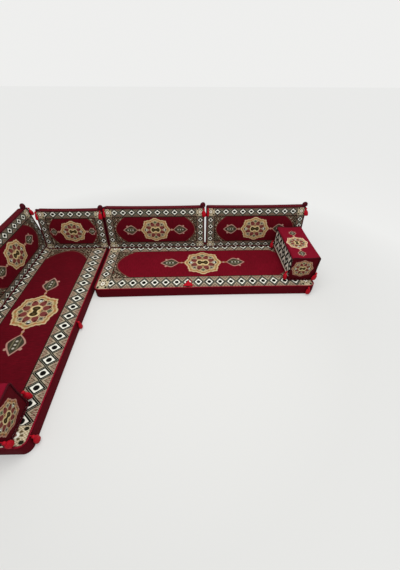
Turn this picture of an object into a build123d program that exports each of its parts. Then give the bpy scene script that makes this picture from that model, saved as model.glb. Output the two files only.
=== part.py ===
from build123d import *
import math
import os

# An L-shaped floor sofa: two seat mattresses, five back cushions that stand on them and two
# arm cushions. Each is a foam core in a sewn cover with piping, a zip and yarn tassels.
# Lengths are in millimetres and angles in degrees. Z is up and the floor is at zero.

# Seat mattress
seat_length = 2024
seat_depth = 765
seat_boxing_height = 92
seat_crown = 15
seat_end_crown = 3
seat_corner_radius = 50
seat_side_draw_in = 7
seat_end_draw_in = 4
seat_zip_length = 900

# Back cushion
back_length = 1026
corner_back_length = 668
back_height = 435
corner_back_height = 416
back_boxing_depth = 78
back_crown = 17
back_end_crown = 4
back_corner_radius = 20
back_top_draw_in = 5
back_end_draw_in = 5
back_lean = 9
back_zip_length = 600
corner_back_zip_length = 400
back_zip_height = 70

# Arm cushion
arm_width = 258
arm_height = 257
arm_length = 562
arm_crown = 9
arm_side_swell = 5
arm_side_draw_in = 5
arm_corner_radius = 24

# Cover cloth, piping and the room left between sewn pieces
cloth_thickness = 2
piping_radius = 4.5
fit_clearance = 0.3
piping_clearance = 0.8
overrun = 3

# Zip
zip_tape_width = 11
zip_tape_thickness = 0.8
zip_chain_width = 6
zip_chain_height = 1.8
zip_stop_length = 5
zip_stop_height = 3
slider_length = 13
slider_wall = 1.6
slider_clearance = 0.35
slider_tab_length = 26
slider_tab_width = 5
slider_tab_thickness = 1.4

# Hanging tassel
tassel_length = 84
tassel_cord_radius = 2.5
tassel_cord_turn_radius = 6
tassel_knot_radius = 3.2
tassel_head_radius = 8.5
tassel_head_drop = 12
tassel_neck_width = 14
tassel_neck_thickness = 12
tassel_skirt_width = 44
tassel_skirt_thickness = 26
tassel_hem_width = 38
tassel_hem_thickness = 22
tassel_flare_share = 0.62
tassel_clearance = 1
narrow_tassel_width_share = 0.36

# Tassel that lies on the seat with its skirt spread
lying_tassel_start = 33
lying_skirt_length = 52
lying_skirt_width = 84
lying_skirt_thickness = 12
lying_hem_bow = 9
lying_cord_turn_radius = 14
lying_tassel_flip = 225

# Stuffed ear at each top corner of a back cushion
ear_width = 46
ear_height = 44
ear_inset = 22
ear_lean = 10
ear_shares = ((0, 1), (0.45, 0.9), (0.8, 0.6), (1, 0.2))
left_ear_width = 36
left_ear_height = 12
end_ear_height = 33

# Layout: the back wing's seat starts at x = 0, y = 0, and the left wing's runs beside it
wing_gap = 25
back_set_back = 660
back_starts = (6, 1047)
side_starts = (-14, 1016)
corner_back_end = 2
arm_set_back = 76
arm_end_overhang = 8
arm_tassel_height = 98
arm_tassel_insets = (14, 26)
edge_tassel_place = 855
side_edge_tassel_place = 894
corner_tassel_inset = 64
right_tassel_inset = 11
close_tassel_inset = 20
left_tassel_inset = 17

# Derived sizes
panel_inset = 2 * piping_radius + 2 * fit_clearance
piping_middle = piping_radius + piping_clearance
piping_front = 2 * piping_radius + piping_clearance
back_depth = back_boxing_depth + piping_front
core_inset = cloth_thickness + fit_clearance
lean = math.radians(back_lean)
foot_rise = back_depth * math.tan(lean)
tassel_reach = tassel_clearance + tassel_skirt_thickness / 2
knot_reach = tassel_knot_radius + fit_clearance

pieces = {}


def keep(label, made):
    """Label a finished piece and keep it for export."""
    made.part.label = label
    pieces[label] = made.part


def turned(plane, at, x_dir, z_dir):
    """A plane at a place given in another plane's own coordinates."""
    return Plane(plane.from_local_coords(at), x_dir=x_dir, z_dir=z_dir)


def side(start, end, draw_in):
    """One side of an outline, an arc where the cloth pulls it in or swells it."""
    if draw_in:
        SagittaArc(start, end, draw_in)
    else:
        Line(start, end)


def outline(plane, length, low, high, radius, draw_ins, inset=0):
    """Rounded rectangle from low to high along Y, centred along X.

    draw_ins says how far its low side, its ends and its high side pull in.
    """
    low_draw_in, end_draw_in, high_draw_in = draw_ins
    half = length / 2 - inset
    bottom = low + inset
    top = high - inset
    with BuildSketch(plane) as shape:
        with BuildLine():
            side((-half, bottom), (half, bottom), low_draw_in)
            side((half, bottom), (half, top), end_draw_in)
            side((half, top), (-half, top), high_draw_in)
            side((-half, top), (-half, bottom), end_draw_in)
        make_face()
        fillet(shape.vertices(), radius - inset / 2)
    return shape.sketch


def pulled_in(place, length, draw_in):
    """How far a side is pulled in at a place along it, counted from its middle."""
    return draw_in * (1 - (2 * place / length) ** 2)


def crown_section(plane, place, low, high, heights, rises):
    """Cross-section of a crowned form at one place along its length.

    heights are its lower and upper edges at both sides, and rises how far each rises in the
    middle.
    """
    at = turned(plane, (place, 0, 0), plane.y_dir, plane.x_dir)
    middle = (low + high) / 2
    floor, rim = heights
    floor_rise, rim_rise = rises
    with BuildSketch(at) as section:
        with BuildLine():
            Line((low, rim), (low, floor))
            if floor_rise:
                ThreePointArc((low, floor), (middle, floor + floor_rise), (high, floor))
            else:
                Line((low, floor), (high, floor))
            Line((high, floor), (high, rim))
            ThreePointArc((high, rim), (middle, rim + rim_rise), (low, rim))
        make_face()
    return section.sketch


def crowned(plane, length, depth, heights, crown, end_crown, thin=False):
    """A form that is highest in its middle and falls away towards its sides and ends."""
    half = length / 2 + overrun
    shoulder_share = 0.6
    shoulder_crown = end_crown + (crown - end_crown) * (1 - shoulder_share**4)
    sections = []
    for share, rise in (
        (-1, end_crown),
        (-shoulder_share, shoulder_crown),
        (0, crown),
        (shoulder_share, shoulder_crown),
        (1, end_crown),
    ):
        rises = (rise if thin else 0, rise)
        sections.append(
            crown_section(plane, half * share, -overrun, depth + overrun, heights, rises)
        )
    with BuildPart() as form:
        loft(sections)
    return form.part


def loop_of_piping(face):
    """A round cord that follows the edge of a face."""
    path = face.face().outer_wire()
    with BuildPart() as loop:
        with BuildSketch(Plane(path @ 0, z_dir=path % 0)):
            Circle(piping_radius)
        sweep(path=path)
    return loop.part


def zip_slit(plane, length):
    """The slit in the cover that a zip closes. The plane's Z points out of the cover."""
    with BuildPart() as slit:
        with BuildSketch(plane.offset(-cloth_thickness - overrun)):
            Rectangle(length, zip_chain_width + 2 * fit_clearance)
        extrude(amount=cloth_thickness + 2 * overrun)
    return slit.part


def zip_pieces(name, plane, length):
    """The two tapes, the chain and its stops, and the slider, which rests at the +X end."""
    tape_middle = (zip_chain_width + zip_tape_width) / 2 + fit_clearance
    stop_place = (length - zip_stop_length) / 2
    chain_length = length - 2 * zip_stop_length
    with BuildPart() as zipper:
        with BuildSketch(plane):
            with Locations((0, tape_middle), (0, -tape_middle)):
                Rectangle(length, zip_tape_width)
        extrude(amount=zip_tape_thickness)
        with BuildSketch(plane.offset(-cloth_thickness)):
            Rectangle(chain_length, zip_chain_width)
        extrude(amount=cloth_thickness + zip_chain_height)
        with BuildSketch(plane.offset(-cloth_thickness)):
            with Locations((stop_place, 0), (-stop_place, 0)):
                Rectangle(zip_stop_length, zip_chain_width)
        extrude(amount=cloth_thickness + zip_stop_height)
    keep(name + "_zipper", zipper)

    slot_width = zip_chain_width + 2 * slider_clearance
    slot_top = zip_chain_height + slider_clearance
    foot = zip_tape_thickness + slider_clearance
    top = slot_top + slider_wall
    rest = chain_length / 2 - slider_length / 2 - slider_clearance
    tab_middle = rest - (slider_tab_length - slider_tab_width) / 2
    with BuildPart() as slider:
        with BuildSketch(plane.offset(foot)):
            with Locations((rest, 0)):
                RectangleRounded(slider_length, slot_width + 2 * slider_wall, slider_wall)
        extrude(amount=top - foot)
        with BuildSketch(plane.offset(foot)):
            with Locations((rest, 0)):
                Rectangle(2 * slider_length, slot_width)
        extrude(amount=slot_top - foot, mode=Mode.SUBTRACT)
        with BuildSketch(plane.offset(top)):
            with Locations((rest, 0)):
                SlotOverall(slider_length - slider_wall, slider_tab_width)
        extrude(amount=slider_wall)
        with BuildSketch(plane.offset(top + slider_wall)):
            with Locations((tab_middle, 0)):
                SlotOverall(slider_tab_length, slider_tab_width)
        extrude(amount=slider_tab_thickness)
    keep(name + "_zip_slider", slider)
    travel = chain_length - slider_length - 2 * slider_clearance
    return {"plane": plane, "travel": travel}


def hanging_tassel(root, width_share):
    """A tassel on a short cord, which is knotted to the piping at root and hangs along its Z.

    The knot lies at root's -Y side. width_share makes a tassel that is pressed narrower.
    """
    axis = turned(root, (0, -tassel_reach, 0), root.x_dir, root.z_dir)
    skirt_top = tassel_head_drop + tassel_head_radius / 2
    flare = skirt_top + (tassel_length - skirt_top) * tassel_flare_share
    knot = turned(root, (0, -knot_reach, 0), root.x_dir, -root.y_dir)
    turn_start = tassel_reach - tassel_cord_turn_radius
    with BuildPart() as hanging:
        with BuildLine(turned(root, (0, 0, 0), -root.y_dir, root.x_dir)) as path:
            Line((knot_reach, 0), (turn_start, 0))
            turn = JernArc((turn_start, 0), (1, 0), tassel_cord_turn_radius, -90)
            Line(turn @ 1, (tassel_reach, -tassel_head_drop))
        with BuildSketch(knot):
            Circle(tassel_cord_radius)
        sweep(path=path.line)
        with Locations(knot.location):
            Sphere(tassel_knot_radius)
        with BuildSketch(axis.offset(skirt_top)):
            Ellipse(tassel_neck_width / 2, tassel_neck_thickness / 2)
        with BuildSketch(axis.offset(flare)):
            Ellipse(tassel_skirt_width * width_share / 2, tassel_skirt_thickness / 2)
        with BuildSketch(axis.offset(tassel_length)):
            Ellipse(tassel_hem_width * width_share / 2, tassel_hem_thickness / 2)
        loft()
        with Locations(axis.offset(tassel_head_drop).location):
            Sphere(tassel_head_radius)
    return hanging.part


def tassels(name, roots, width_shares):
    """Tassels that swing on one line, as one node."""
    with BuildPart() as group:
        for root, width_share in zip(roots, width_shares):
            add(hanging_tassel(root, width_share))
    keep(name, group)


def hinge_line(roots, reach):
    """Where tassels swing: a point and a direction through the places at reach before roots."""
    start = roots[0].from_local_coords((0, -reach, 0))
    if len(roots) == 1:
        return {"at": start, "along": roots[0].x_dir}
    end = roots[1].from_local_coords((0, -reach, 0))
    along = (start - end).normalized()
    if along.dot(roots[0].x_dir) < 0:
        along = -along
    return {"at": start, "along": along}


def highest_under(panels, footprint, length, depth):
    """The highest point of the pieces that lie under a footprint."""
    with BuildPart(footprint) as column:
        Box(length, depth, 4 * (seat_boxing_height + seat_crown))
    tops = []
    for panel in panels:
        met = panel & column.part
        if met is not None and met.solids():
            points, _ = met.tessellate(fit_clearance / 10)
            tops.append(max(point.Z for point in points))
    return max(tops)


def seat(name, wing):
    """One seat mattress. The wing's X runs along its front edge and its Y to its rear edge."""
    base = turned(wing, (seat_length / 2, 0, 0), wing.x_dir, wing.z_dir)
    crown = (seat_crown, seat_end_crown)
    core_rim = seat_boxing_height - fit_clearance
    panel_rim = seat_boxing_height + cloth_thickness
    zip_plane = turned(
        base, (0, seat_depth, seat_boxing_height / 2), -base.x_dir, base.y_dir
    )

    def layer(height, inset=0):
        draw_ins = (seat_side_draw_in, seat_end_draw_in, 0)
        at = base.offset(height)
        return outline(at, seat_length, 0, seat_depth, seat_corner_radius, draw_ins, inset)

    with BuildPart() as core:
        extrude(layer(core_inset, core_inset), amount=core_rim - core_inset)
        extrude(layer(core_inset, panel_inset), amount=panel_rim + seat_crown)
        add(
            crowned(base, seat_length, seat_depth, (0, core_rim), *crown),
            mode=Mode.INTERSECT,
        )
    keep(name + "_foam_core", core)

    with BuildPart() as top_panel:
        extrude(
            layer(seat_boxing_height - overrun, panel_inset),
            amount=2 * overrun + cloth_thickness + seat_crown,
        )
        add(
            crowned(
                base, seat_length, seat_depth, (seat_boxing_height, panel_rim), *crown, thin=True
            ),
            mode=Mode.INTERSECT,
        )
    keep(name + "_top_panel", top_panel)

    with BuildPart() as base_panel:
        extrude(layer(0), amount=cloth_thickness)
    keep(name + "_base_panel", base_panel)

    with BuildPart() as boxing:
        extrude(layer(cloth_thickness), amount=seat_boxing_height - cloth_thickness)
        extrude(
            layer(cloth_thickness, cloth_thickness),
            amount=seat_boxing_height,
            mode=Mode.SUBTRACT,
        )
        add(zip_slit(zip_plane, seat_zip_length), mode=Mode.SUBTRACT)
    keep(name + "_boxing", boxing)

    with BuildPart() as piping:
        add(loop_of_piping(layer(seat_boxing_height + piping_middle, piping_radius)))
    keep(name + "_piping", piping)

    zips[name] = zip_pieces(name, zip_plane, seat_zip_length)
    return [top_panel.part, piping.part]


def seat_tassel_root(wing, place):
    """Where a tassel is sewn to the piping along a seat's front edge."""
    back = pulled_in(place - seat_length / 2, seat_length, seat_side_draw_in)
    at = (place, back, seat_boxing_height + piping_middle)
    return turned(wing, at, -wing.x_dir, -wing.z_dir)


def lying_tassel(name, wing, place, stands_on):
    """A tassel whose cord comes over a seat's front edge and turns back, so that it lies flat."""
    head_place = lying_tassel_start + lying_skirt_length + tassel_head_radius / 2
    reach = head_place + tassel_head_radius + lying_cord_turn_radius
    footprint = turned(wing, (place, reach / 2, 0), wing.x_dir, wing.z_dir)
    ground = highest_under(stands_on, footprint, lying_skirt_width, reach) + fit_clearance
    flat = turned(wing, (place, 0, ground), wing.x_dir, wing.z_dir)
    cord = flat.offset(tassel_cord_radius + fit_clearance)
    turn_place = head_place + tassel_head_radius
    root = -tassel_cord_radius - fit_clearance
    with BuildPart() as tassel:
        with BuildSketch(flat):
            with BuildLine():
                Line(
                    (tassel_neck_width / 2, head_place),
                    (-tassel_neck_width / 2, head_place),
                )
                Line(
                    (-tassel_neck_width / 2, head_place),
                    (-lying_skirt_width / 2, lying_tassel_start),
                )
                SagittaArc(
                    (-lying_skirt_width / 2, lying_tassel_start),
                    (lying_skirt_width / 2, lying_tassel_start),
                    -lying_hem_bow,
                )
                Line(
                    (lying_skirt_width / 2, lying_tassel_start),
                    (tassel_neck_width / 2, head_place),
                )
            make_face()
        extrude(amount=lying_skirt_thickness)
        head = flat.offset(tassel_head_radius + fit_clearance)
        with Locations(head.location * Pos(0, head_place, 0)):
            Sphere(tassel_head_radius)
        with BuildLine(cord) as path:
            Line((0, head_place), (0, turn_place))
            turn = JernArc((0, turn_place), (0, 1), lying_cord_turn_radius, -180)
            Line(turn @ 1, (2 * lying_cord_turn_radius, root))
        with BuildSketch(turned(cord, (0, head_place, 0), cord.x_dir, cord.y_dir)):
            Circle(tassel_cord_radius)
        sweep(path=path.line)
    keep(name, tassel)
    return cord.from_local_coords((0, root, 0))


def back_cushion(
    name,
    wing,
    start,
    size,
    zip_length,
    stands_on,
    right_ear_height=ear_height,
    right_inset=right_tassel_inset,
):
    """One back cushion, standing on a seat and leaning back. start is where its left end is.

    right_inset keeps its right tassel clear of a neighbour that is lifted off beside it.
    """
    length, height = size
    middle = start + length / 2
    foot_middle = back_set_back + (back_depth + piping_radius) / 2
    footprint = turned(wing, (middle, foot_middle, 0), wing.x_dir, wing.z_dir)
    foot_length = length - 2 * (back_corner_radius - piping_radius)
    foot_depth = back_depth - piping_radius
    ground = highest_under(stands_on, footprint, foot_length, foot_depth) + fit_clearance
    up = wing.y_dir * math.sin(lean) + wing.z_dir * math.cos(lean)
    out = wing.z_dir * math.sin(lean) - wing.y_dir * math.cos(lean)
    front = turned(wing, (middle, back_set_back, ground), wing.x_dir, out)
    rear = front.offset(-back_depth)
    crown = (back_crown, back_end_crown)
    core_rim = back_boxing_depth - fit_clearance
    panel_rim = back_boxing_depth + cloth_thickness
    zip_plane = turned(rear, (0, back_zip_height, 0), -wing.x_dir, -out)

    def layer(depth, inset=0, low=None):
        if low is None:
            low = foot_rise * (1 - depth / back_depth)
        draw_ins = (0, back_end_draw_in, back_top_draw_in)
        at = rear.offset(depth)
        return outline(at, length, low, height, back_corner_radius, draw_ins, inset)

    with BuildPart() as core:
        loft([layer(core_inset, core_inset), layer(core_rim, core_inset)], ruled=True)
        extrude(layer(core_rim - overrun, panel_inset, 0), amount=back_depth + back_crown)
        add(
            crowned(rear, length, height, (0, core_rim), *crown),
            mode=Mode.INTERSECT,
        )
    keep(name + "_foam_core", core)

    with BuildPart() as front_panel:
        extrude(
            layer(back_boxing_depth - overrun, panel_inset, 0),
            amount=2 * overrun + cloth_thickness + back_crown,
        )
        add(
            crowned(rear, length, height, (back_boxing_depth, panel_rim), *crown, thin=True),
            mode=Mode.INTERSECT,
        )
    keep(name + "_front_panel", front_panel)

    with BuildPart() as shell:
        loft([layer(0), layer(back_boxing_depth)], ruled=True)
        loft(
            [layer(cloth_thickness, cloth_thickness), layer(back_depth, cloth_thickness)],
            ruled=True,
            mode=Mode.SUBTRACT,
        )
        add(zip_slit(zip_plane, zip_length), mode=Mode.SUBTRACT)
    keep(name + "_back_shell", shell)

    ears = (
        (length / 2 - ear_inset, ear_width, right_ear_height, ear_lean),
        (ear_inset - length / 2, left_ear_width, left_ear_height, 0),
    )
    ear_drop = pulled_in(length / 2 - back_corner_radius, length, back_top_draw_in)
    ear_level = height - ear_drop + fit_clearance
    with BuildPart() as piping:
        add(loop_of_piping(layer(back_boxing_depth + piping_middle, piping_radius)))
        for place, width, rise, shift in ears:
            ear_foot = turned(rear, (place, ear_level, back_depth - width / 2), wing.x_dir, up)
            for height_share, width_share in ear_shares:
                with BuildSketch(ear_foot.offset(rise * height_share)):
                    with Locations((shift * height_share, 0)):
                        Circle(width * width_share / 2)
            loft()
    keep(name + "_piping", piping)

    zips[name] = zip_pieces(name, zip_plane, zip_length)

    bend_radius = back_corner_radius - piping_radius / 2
    roots = []
    for turn, inset in ((1, right_inset), (-1, left_tassel_inset)):
        along_bend = back_corner_radius + piping_radius / 2 - inset
        drop = piping_radius + bend_radius - math.sqrt(bend_radius**2 - along_bend**2)
        place = turn * (length / 2 - inset)
        roots.append(turned(rear, (place, height - drop, back_depth), -wing.x_dir, -up))
    tassels(name + "_tassels", roots, (1, narrow_tassel_width_share))
    hinges[name] = hinge_line(roots, knot_reach)


def arm_cushion(name, wing, middle, outer, stands_on):
    """One arm cushion, standing on a seat across its end. outer is 1 if its +X side is outside."""
    centre = (middle, arm_set_back + arm_length / 2, 0)
    footprint = turned(wing, centre, wing.x_dir, wing.z_dir)
    ground = highest_under(stands_on, footprint, arm_width, arm_length) + fit_clearance
    foot = turned(wing, (middle, arm_set_back, ground), wing.x_dir, -wing.y_dir)

    def layer(place, inset=0, narrowing=0):
        draw_ins = (0, -arm_side_swell, -arm_crown)
        at = foot.offset(-place)
        width = arm_width - 2 * narrowing
        return outline(at, width, 0, arm_height, arm_corner_radius, draw_ins, inset)

    def run(start, end, inset):
        waist = layer((start + end) / 2, inset, arm_side_draw_in)
        return [layer(start, inset), waist, layer(end, inset)]

    front = piping_front + cloth_thickness
    rear = arm_length - front
    with BuildPart() as core:
        loft(run(front + fit_clearance, rear - fit_clearance, core_inset))
    keep(name + "_foam_core", core)

    with BuildPart() as wrap:
        loft(run(front, rear, 0))
        loft(run(front - overrun, rear + overrun, cloth_thickness), mode=Mode.SUBTRACT)
    keep(name + "_wrap_cover", wrap)

    with BuildPart() as ends:
        for place, step in ((front, 1), (rear, -1)):
            extrude(layer(place), amount=step * cloth_thickness)
            welt = place - step * (cloth_thickness + piping_radius - fit_clearance)
            add(loop_of_piping(layer(welt, piping_radius)))
    keep(name + "_end_panels", ends)

    swell = pulled_in(arm_tassel_height - arm_height / 2, arm_height, arm_side_swell)
    reach = arm_width / 2 + swell
    front_inset, rear_inset = arm_tassel_insets
    front_place = outer * (reach - piping_radius)
    piping_face = piping_clearance + fit_clearance
    rear_place = arm_length - rear_inset
    roots = [turned(foot, (front_place, arm_tassel_height, -piping_face), -wing.x_dir, -wing.z_dir)]
    for along, turn in ((front_inset, -outer), (rear_place, 1), (rear_place, -1)):
        at = (turn * reach, arm_tassel_height, -along)
        roots.append(turned(foot, at, wing.y_dir * -turn, -wing.z_dir))
    tassels(name + "_tassels", roots, (1, 1, 1, 1))


zips = {}
hinges = {}
back_wing = Plane((0, 0, 0), x_dir=(1, 0, 0), z_dir=(0, 0, 1))
left_wing = Plane((-wing_gap, seat_depth - seat_length, 0), x_dir=(0, 1, 0), z_dir=(0, 0, 1))

back_seat = seat("back_seat", back_wing)
left_seat = seat("left_seat", left_wing)

back_size = (back_length, back_height)
corner_size = (corner_back_length, corner_back_height)
back_cushion("back_cushion_left", back_wing, back_starts[0], back_size, back_zip_length, back_seat)
back_cushion(
    "back_cushion_right",
    back_wing,
    back_starts[1],
    back_size,
    back_zip_length,
    back_seat,
    end_ear_height,
)
corner_start = corner_back_end - corner_back_length
back_cushion(
    "corner_cushion",
    back_wing,
    corner_start,
    corner_size,
    corner_back_zip_length,
    left_seat,
    right_inset=close_tassel_inset,
)
back_cushion(
    "side_cushion_front",
    left_wing,
    side_starts[0],
    back_size,
    back_zip_length,
    left_seat,
    right_inset=close_tassel_inset,
)
back_cushion(
    "side_cushion_rear", left_wing, side_starts[1], back_size, back_zip_length, left_seat
)

right_arm_middle = seat_length + arm_end_overhang - arm_width / 2
left_arm_middle = arm_width / 2 - arm_end_overhang
arm_cushion("right_arm", back_wing, right_arm_middle, 1, back_seat)
arm_cushion("left_arm", left_wing, left_arm_middle, -1, left_seat)

flip_place = lying_tassel("back_seat_edge_tassel", back_wing, edge_tassel_place, back_seat)
back_seat_roots = [seat_tassel_root(back_wing, seat_length - corner_tassel_inset)]
tassels("back_seat_corner_tassel", back_seat_roots, (1,))
hinges["back_seat"] = hinge_line(back_seat_roots, -piping_radius)
left_seat_roots = [
    seat_tassel_root(left_wing, place) for place in (corner_tassel_inset, side_edge_tassel_place)
]
tassels("left_seat_tassels", left_seat_roots, (1, 1))
hinges["left_seat"] = hinge_line(left_seat_roots, -piping_radius)

boxes = [piece.bounding_box() for piece in pieces.values()]
low_x = min(box.min.X for box in boxes)
high_x = max(box.max.X for box in boxes)
low_y = min(box.min.Y for box in boxes)
high_y = max(box.max.Y for box in boxes)
to_origin = Location((-(low_x + high_x) / 2, -(low_y + high_y) / 2, 0))

os.makedirs("parts", exist_ok=True)
for label, piece in pieces.items():
    placed = piece.moved(to_origin)
    placed.label = label
    export_step(placed, f"parts/{label}.step")

print("pieces", len(pieces), "size", high_x - low_x, high_y - low_y, "origin", to_origin.position)
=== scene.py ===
import bpy
import math
from mathutils import Matrix, Vector, noise


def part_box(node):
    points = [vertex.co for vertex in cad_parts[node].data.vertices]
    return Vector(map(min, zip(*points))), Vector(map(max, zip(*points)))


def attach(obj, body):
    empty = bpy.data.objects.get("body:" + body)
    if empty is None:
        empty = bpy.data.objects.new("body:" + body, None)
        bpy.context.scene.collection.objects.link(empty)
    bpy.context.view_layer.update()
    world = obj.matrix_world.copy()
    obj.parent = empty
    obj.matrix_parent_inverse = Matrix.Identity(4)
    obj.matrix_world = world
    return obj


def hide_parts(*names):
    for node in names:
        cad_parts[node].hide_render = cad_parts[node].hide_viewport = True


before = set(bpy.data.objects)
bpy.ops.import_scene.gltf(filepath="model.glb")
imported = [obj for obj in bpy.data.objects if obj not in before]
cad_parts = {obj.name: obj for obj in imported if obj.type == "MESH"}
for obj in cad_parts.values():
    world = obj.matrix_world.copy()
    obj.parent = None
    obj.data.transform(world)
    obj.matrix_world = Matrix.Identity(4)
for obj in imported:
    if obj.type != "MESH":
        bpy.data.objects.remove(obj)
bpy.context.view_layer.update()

# Sizes in metres
SEAT_LENGTH, SEAT_DEPTH, SEAT_RIM = 2.024, 0.765, 0.092
BACK_LENGTH, BACK_HEIGHT, BACK_RIM, BACK_DEPTH = 1.026, 0.435, 0.078, 0.0878
CORNER_LENGTH, CORNER_HEIGHT = 0.668, 0.416
BACK_SET, BACK_LEAN = 0.66, math.radians(9)
FOOT_RISE = BACK_DEPTH * math.tan(BACK_LEAN)
ARM_WIDTH, ARM_HEIGHT, ARM_LENGTH, ARM_SET = 0.258, 0.257, 0.562, 0.076
ARM_END = 0.0118
PIPING = 0.0045
PIPING_UP = 0.0053
HANG = 0.014


def axes(origin, x_dir, y_dir, z_dir):
    """A matrix whose columns are three directions and a place."""
    made = Matrix.Identity(4)
    for column, vector in enumerate((x_dir, y_dir, z_dir, origin)):
        for row in range(3):
            made[row][column] = vector[row]
    return made


X, Y, Z = Vector((1, 0, 0)), Vector((0, 1, 0)), Vector((0, 0, 1))
low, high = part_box("back_seat_base_panel")
BACK_WING = axes(((low[0] + high[0]) / 2 - SEAT_LENGTH / 2, high[1] - SEAT_DEPTH, 0), X, Y, Z)
low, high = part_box("left_seat_base_panel")
LEFT_WING = axes((low[0] + SEAT_DEPTH, (low[1] + high[1]) / 2 - SEAT_LENGTH / 2, 0), Y, -X, Z)


def foot_of(node, wing, back):
    """The place in a wing's frame under a node's middle, that far back from its front."""
    low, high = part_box(node)
    middle = (Vector(low) + Vector(high)) / 2
    return (wing.inverted() @ middle).x, back, low[2]


def back_plane(name, wing):
    up = Y * math.sin(BACK_LEAN) + Z * math.cos(BACK_LEAN)
    out = Z * math.sin(BACK_LEAN) - Y * math.cos(BACK_LEAN)
    foot = axes(foot_of(name + "_back_shell", wing, BACK_SET), X, up, out)
    return wing @ foot @ Matrix.Translation((0, 0, -BACK_DEPTH))


def arm_plane(name, wing):
    return wing @ axes(foot_of(name + "_wrap_cover", wing, ARM_SET + ARM_LENGTH), X, Z, -Y)


# Node graphs
QUARTER, EIGHTH = math.pi / 2, math.pi / 4


class Field:
    """A number that varies over a surface, made of Math nodes in the current tree."""

    tree = None

    def __init__(self, socket):
        self.socket = socket

    def __add__(self, other):
        return maths("ADD", self, other)

    __radd__ = __add__

    def __sub__(self, other):
        return maths("SUBTRACT", self, other)

    def __rsub__(self, other):
        return maths("SUBTRACT", other, self)

    def __mul__(self, other):
        return maths("MULTIPLY", self, other)

    __rmul__ = __mul__

    def __truediv__(self, other):
        return maths("DIVIDE", self, other)

    def __neg__(self):
        return maths("MULTIPLY", self, -1.0)

    def __abs__(self):
        return maths("ABSOLUTE", self)


def feed(socket, value):
    if isinstance(value, Field):
        Field.tree.links.new(value.socket, socket)
    elif isinstance(value, bpy.types.NodeSocket):
        Field.tree.links.new(value, socket)
    else:
        socket.default_value = (*value, 1.0) if socket.type == "RGBA" else value


def make_node(kind, **values):
    """A node in the current tree, with values or fields for its named inputs."""
    node = Field.tree.nodes.new("ShaderNode" + kind)
    for name, value in values.items():
        feed(node.inputs[name], value)
    return node


def maths(kind, *values, clamp=False):
    node = make_node("Math")
    node.operation = kind
    node.use_clamp = clamp
    for socket, value in zip(node.inputs, values):
        feed(socket, value)
    return Field(node.outputs[0])


def least(a, b):
    return maths("MINIMUM", a, b)


def most(a, b):
    return maths("MAXIMUM", a, b)


def inside(distance, edge):
    """1 where the distance is below zero, 0 above it, soft over edge."""
    return maths("MULTIPLY_ADD", distance, -1.0 / edge, 0.5, clamp=True)


def repeat(value, period=1.0):
    """The value counted from the nearest multiple of the period."""
    return maths("WRAP", value, period / 2, -period / 2)


def length(x, y):
    return maths("SQRT", x * x + y * y)


def between(value, a, b, edge):
    return inside(abs(value - (a + b) / 2) - (b - a) / 2, edge)


def paint(under, over, mask):
    node = make_node("Mix")
    node.data_type = "RGBA"
    for index, value in ((0, mask), (6, under), (7, over)):
        feed(node.inputs[index], value)
    return node.outputs[2]


def layers(colour, *coats):
    """The colour with others painted over it in turn, each through its mask."""
    for over, mask in coats:
        colour = paint(colour, over, mask)
    return colour


def cloth_coordinates():
    uv = make_node("UVMap")
    uv.uv_map = "cloth"
    return uv.outputs[0]


def object_coordinates():
    return make_node("TexCoord").outputs["Object"]


def noise_at(place, scale, detail=3.0, stretch=(1, 1, 1)):
    """Noise at a place, about 0.5 on average."""
    mapping = make_node("Mapping", Vector=place, Scale=stretch)
    node = make_node("TexNoise", Vector=mapping.outputs[0], Scale=scale, Detail=detail)
    return Field(node.outputs["Fac"])


def speckle(scale, detail=3.0, stretch=(1, 1, 1)):
    return noise_at(cloth_coordinates(), scale, detail, stretch)


def flat_place(coordinates=None):
    """The first two coordinates of a place, on the cloth or as given, in metres."""
    split = make_node("SeparateXYZ", Vector=coordinates or cloth_coordinates())
    return Field(split.outputs[0]), Field(split.outputs[1])


# Linear colours: cloths and yarns that many figures share
CRIMSON = (0.18, 0.0022, 0.012)
CRIMSON_DEEP = (0.112, 0.0012, 0.0066)
ARM_CRIMSON = (0.215, 0.0042, 0.019)
# Painted shade: the backs' crimson and its darker streaks are dimmed copies of the seats'
# crimson, for the less light that upright faces get from above
SHADED_CRIMSON = (0.128, 0.0016, 0.0078)
SHADED_CRIMSON_DEEP = (0.074, 0.001, 0.0046)
MAROON = (0.094, 0.0009, 0.0056)
MAROON_DEEP = (0.07, 0.0007, 0.004)
PIPING_RED = (0.062, 0.0012, 0.0054)
CREAM = (0.86, 0.85, 0.74)
PINK_CREAM = (0.46, 0.25, 0.195)
OLIVE_BLACK = (0.02, 0.023, 0.012)
BLACK = (0.003, 0.004, 0.003)
GOLD = (0.42, 0.235, 0.085)
SAGE = (0.13, 0.145, 0.085)
# Painted shade: the backs' border ground is a dimmed copy of the seats' ground, for the less
# light on upright faces
SEAT_GROUND, SHADED_BACK_GROUND = (0.41, 0.345, 0.245), (0.18, 0.165, 0.12)
# Borders
STROKE_BRICK = (0.165, 0.03, 0.024)
FAN_LINE = (0.085, 0.06, 0.03)
FAN_DARK = (0.042, 0.022, 0.012)
TICK_BRICK = (0.12, 0.03, 0.024)
LATTICE_PALE = (0.34, 0.34, 0.25)
RIM_BLACK = (0.016, 0.01, 0.006)
EDGE_PINK = (0.26, 0.13, 0.1)
STITCH_RED = (0.3, 0.035, 0.04)
# Corner squares
MOSAIC_DARK = (0.36, 0.29, 0.17)
MOSAIC_PALE = (0.7, 0.61, 0.42)
RING_PALE = (0.6, 0.52, 0.37)
RING_DARK = (0.115, 0.08, 0.035)
HUB_BROWN = (0.22, 0.095, 0.055)
DOT_BLACK = (0.014, 0.014, 0.006)
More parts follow.
